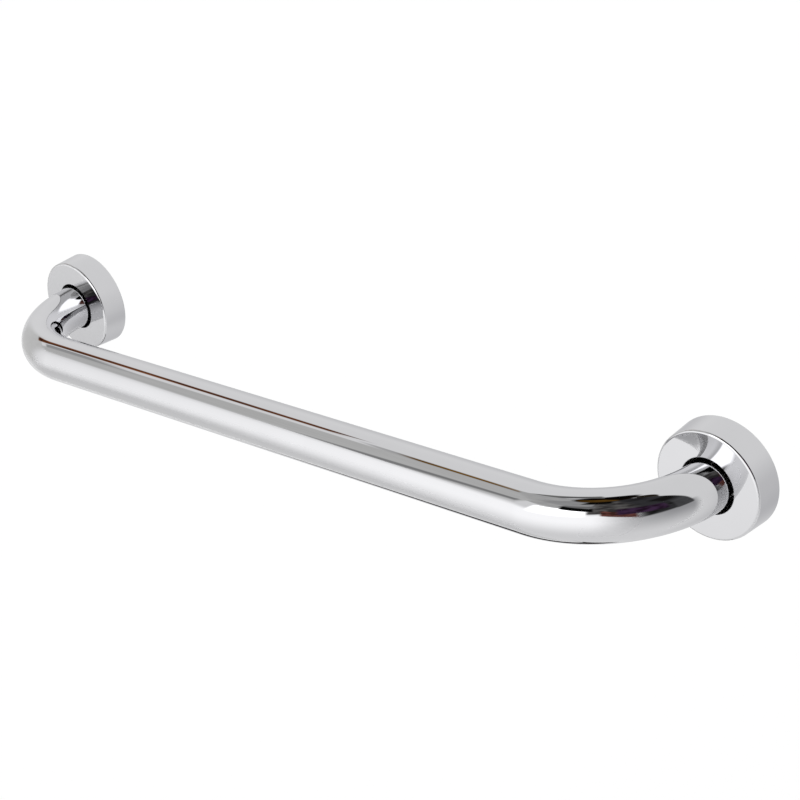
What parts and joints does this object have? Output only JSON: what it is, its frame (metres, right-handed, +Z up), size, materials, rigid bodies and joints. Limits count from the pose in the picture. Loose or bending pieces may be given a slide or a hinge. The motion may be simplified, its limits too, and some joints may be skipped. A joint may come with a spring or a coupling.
{
  "type": "grab bar",
  "caption": "Straight polished grab bar: a bent round tube whose legs are welded to hidden screw flanges, under round drawn covers that slide along the legs.",
  "frame": {"origin": "on the wall plane, midway between the centre lines of the two legs", "axes": "+X along the bar to the right as seen from the room, +Y into the wall, +Z up; the bar stands off the wall towards -Y"},
  "size_m": [0.5056, 0.0815, 0.0556],
  "materials": {
    "tube_chrome": "mirror-polished chrome plate on steel tube",
    "cover_chrome": "mirror-polished chrome plate on drawn sheet",
    "flange_steel": "plain stamped and welded steel, hidden under the covers"
  },
  "bodies": {
    "bar": {"bar_tube": "tube_chrome", "left_wall_flange": "flange_steel", "right_wall_flange": "flange_steel"},
    "left_cover": {"left_cover": "cover_chrome"},
    "right_cover": {"right_cover": "cover_chrome"}
  },
  "joints": [
    {"name": "left_cover_slide", "type": "slide", "parent": "bar", "child": "left_cover", "axis": [0, -1, 0], "range_m": [0, 0.0065]},
    {"name": "right_cover_slide", "type": "slide", "parent": "bar", "child": "right_cover", "axis": [0, -1, 0], "range_m": [0, 0.0065]}
  ]
}
